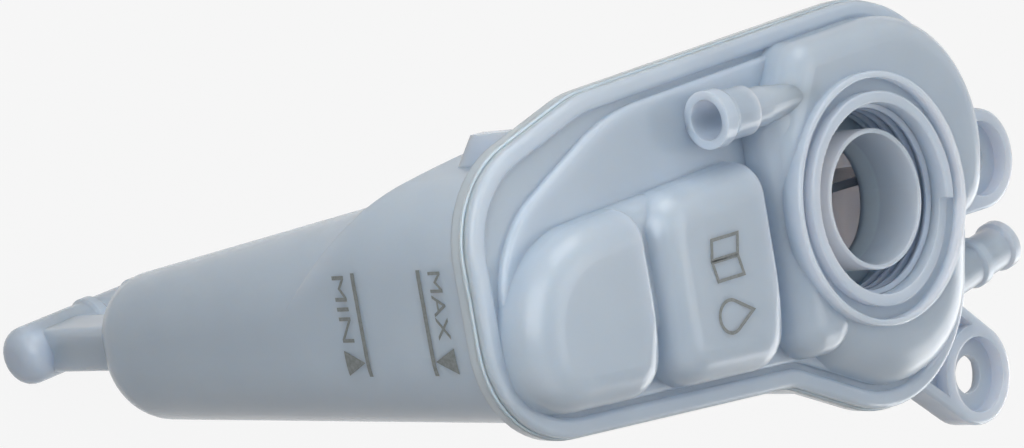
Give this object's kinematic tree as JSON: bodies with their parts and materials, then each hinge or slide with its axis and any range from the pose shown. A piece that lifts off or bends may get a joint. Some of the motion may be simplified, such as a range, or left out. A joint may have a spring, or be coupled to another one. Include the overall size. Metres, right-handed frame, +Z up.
{
  "type": "coolant expansion tank",
  "caption": "Translucent moulded coolant expansion tank: deep chamber under a welded flange, pillowed top, ringed filler neck, hose nipples and mounting ears.",
  "frame": {"origin": "filler neck axis where it meets the weld plane of the flange", "axes": "+Z up along the filler neck, -X towards the deep chamber, +Y towards the low deck and the vent nipple"},
  "size_m": [0.201, 0.1154, 0.2165],
  "materials": {
    "natural_polypropylene": "satin, translucent"
  },
  "bodies": {
    "root": {"lower_shell": "natural_polypropylene", "upper_shell": "natural_polypropylene"}
  },
  "joints": []
}
